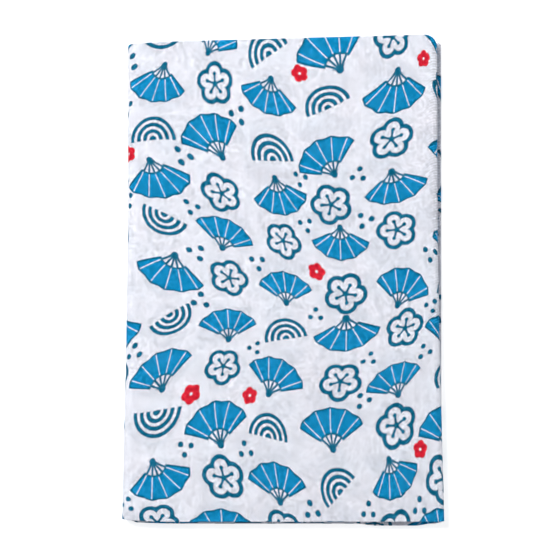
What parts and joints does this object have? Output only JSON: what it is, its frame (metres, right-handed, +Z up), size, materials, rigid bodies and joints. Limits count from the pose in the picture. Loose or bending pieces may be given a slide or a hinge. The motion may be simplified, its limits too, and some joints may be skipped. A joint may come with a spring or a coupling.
{
  "type": "folded tenugui towel",
  "caption": "Thin printed cotton hand towel, doubled across its width and folded back and forth along its length into a small flat rectangular stack.",
  "frame": {"origin": "on the surface, under the middle of the folded stack", "axes": "+X across the side folds, from the smooth spine to the side with the raw ends; +Y from the selvages to the doubled edge; +Z up from the underside"},
  "size_m": [0.1146, 0.1732, 0.0106],
  "materials": {
    "printed_cotton": "matt plain weave, white with a small blue and red print"
  },
  "bodies": {
    "root": {"tenugui_cloth": "printed_cotton"}
  },
  "joints": []
}
